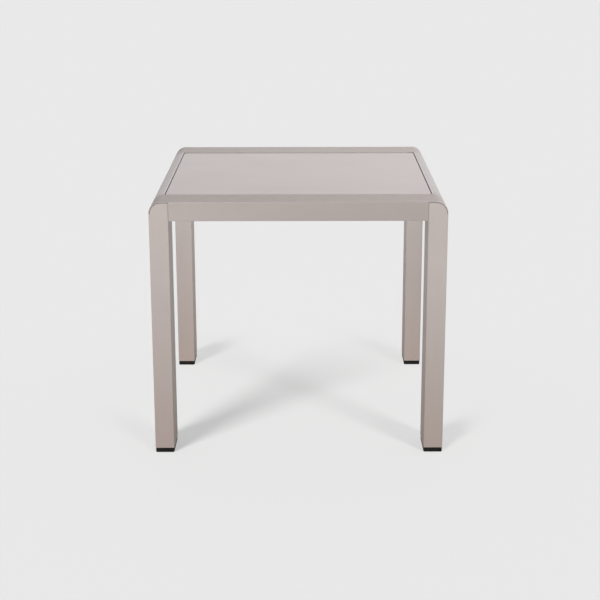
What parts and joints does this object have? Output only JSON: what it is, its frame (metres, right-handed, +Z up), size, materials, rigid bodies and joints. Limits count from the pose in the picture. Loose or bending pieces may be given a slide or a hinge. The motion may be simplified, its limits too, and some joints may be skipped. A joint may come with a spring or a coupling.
{
  "type": "outdoor side table",
  "caption": "Square outdoor side table: aluminium tube legs, rails with rounded shoulders, a lift-out painted glass top in a rebate, and black plastic feet.",
  "frame": {"origin": "on the floor, under the middle of the table", "axes": "+Z up, +X to the right seen from the front, +Y towards the back; the rounded shoulders run along Y"},
  "size_m": [0.5, 0.5, 0.448],
  "materials": {
    "taupe_frame": "satin taupe powder coat",
    "painted_glass": "gloss, painted behind",
    "clear_silicone": "soft",
    "black_plastic": "moulded, satin",
    "cast_aluminium": "as cast",
    "stainless_steel": "brushed",
    "bare_aluminium": "bare"
  },
  "bodies": {
    "frame": {"back_ledge": "taupe_frame", "back_left_end_rail_spigot": "cast_aluminium", "back_left_foot": "black_plastic", "back_left_leg": "taupe_frame", "back_left_leg_cap": "taupe_frame", "back_left_side_rail_spigot": "cast_aluminium", "back_rail": "taupe_frame", "back_right_end_rail_spigot": "cast_aluminium", "back_right_foot": "black_plastic", "back_right_leg": "taupe_frame", "back_right_leg_cap": "taupe_frame", "back_right_side_rail_spigot": "cast_aluminium", "end_rail_screws": "stainless_steel", "front_ledge": "taupe_frame", "front_left_end_rail_spigot": "cast_aluminium", "front_left_foot": "black_plastic", "front_left_leg": "taupe_frame", "front_left_leg_cap": "taupe_frame", "front_left_side_rail_spigot": "cast_aluminium", "front_rail": "taupe_frame", "front_right_end_rail_spigot": "cast_aluminium", "front_right_foot": "black_plastic", "front_right_leg": "taupe_frame", "front_right_leg_cap": "taupe_frame", "front_right_side_rail_spigot": "cast_aluminium", "glass_pads": "clear_silicone", "ledge_rivets": "bare_aluminium", "left_side_rail": "taupe_frame", "right_side_rail": "taupe_frame", "side_rail_screws": "stainless_steel"},
    "glass": {"glass_top": "painted_glass"}
  },
  "joints": [
    {"name": "glass_lift", "type": "slide", "parent": "frame", "child": "glass", "axis": [0, 0, 1], "range_m": [0, 0.1]}
  ]
}
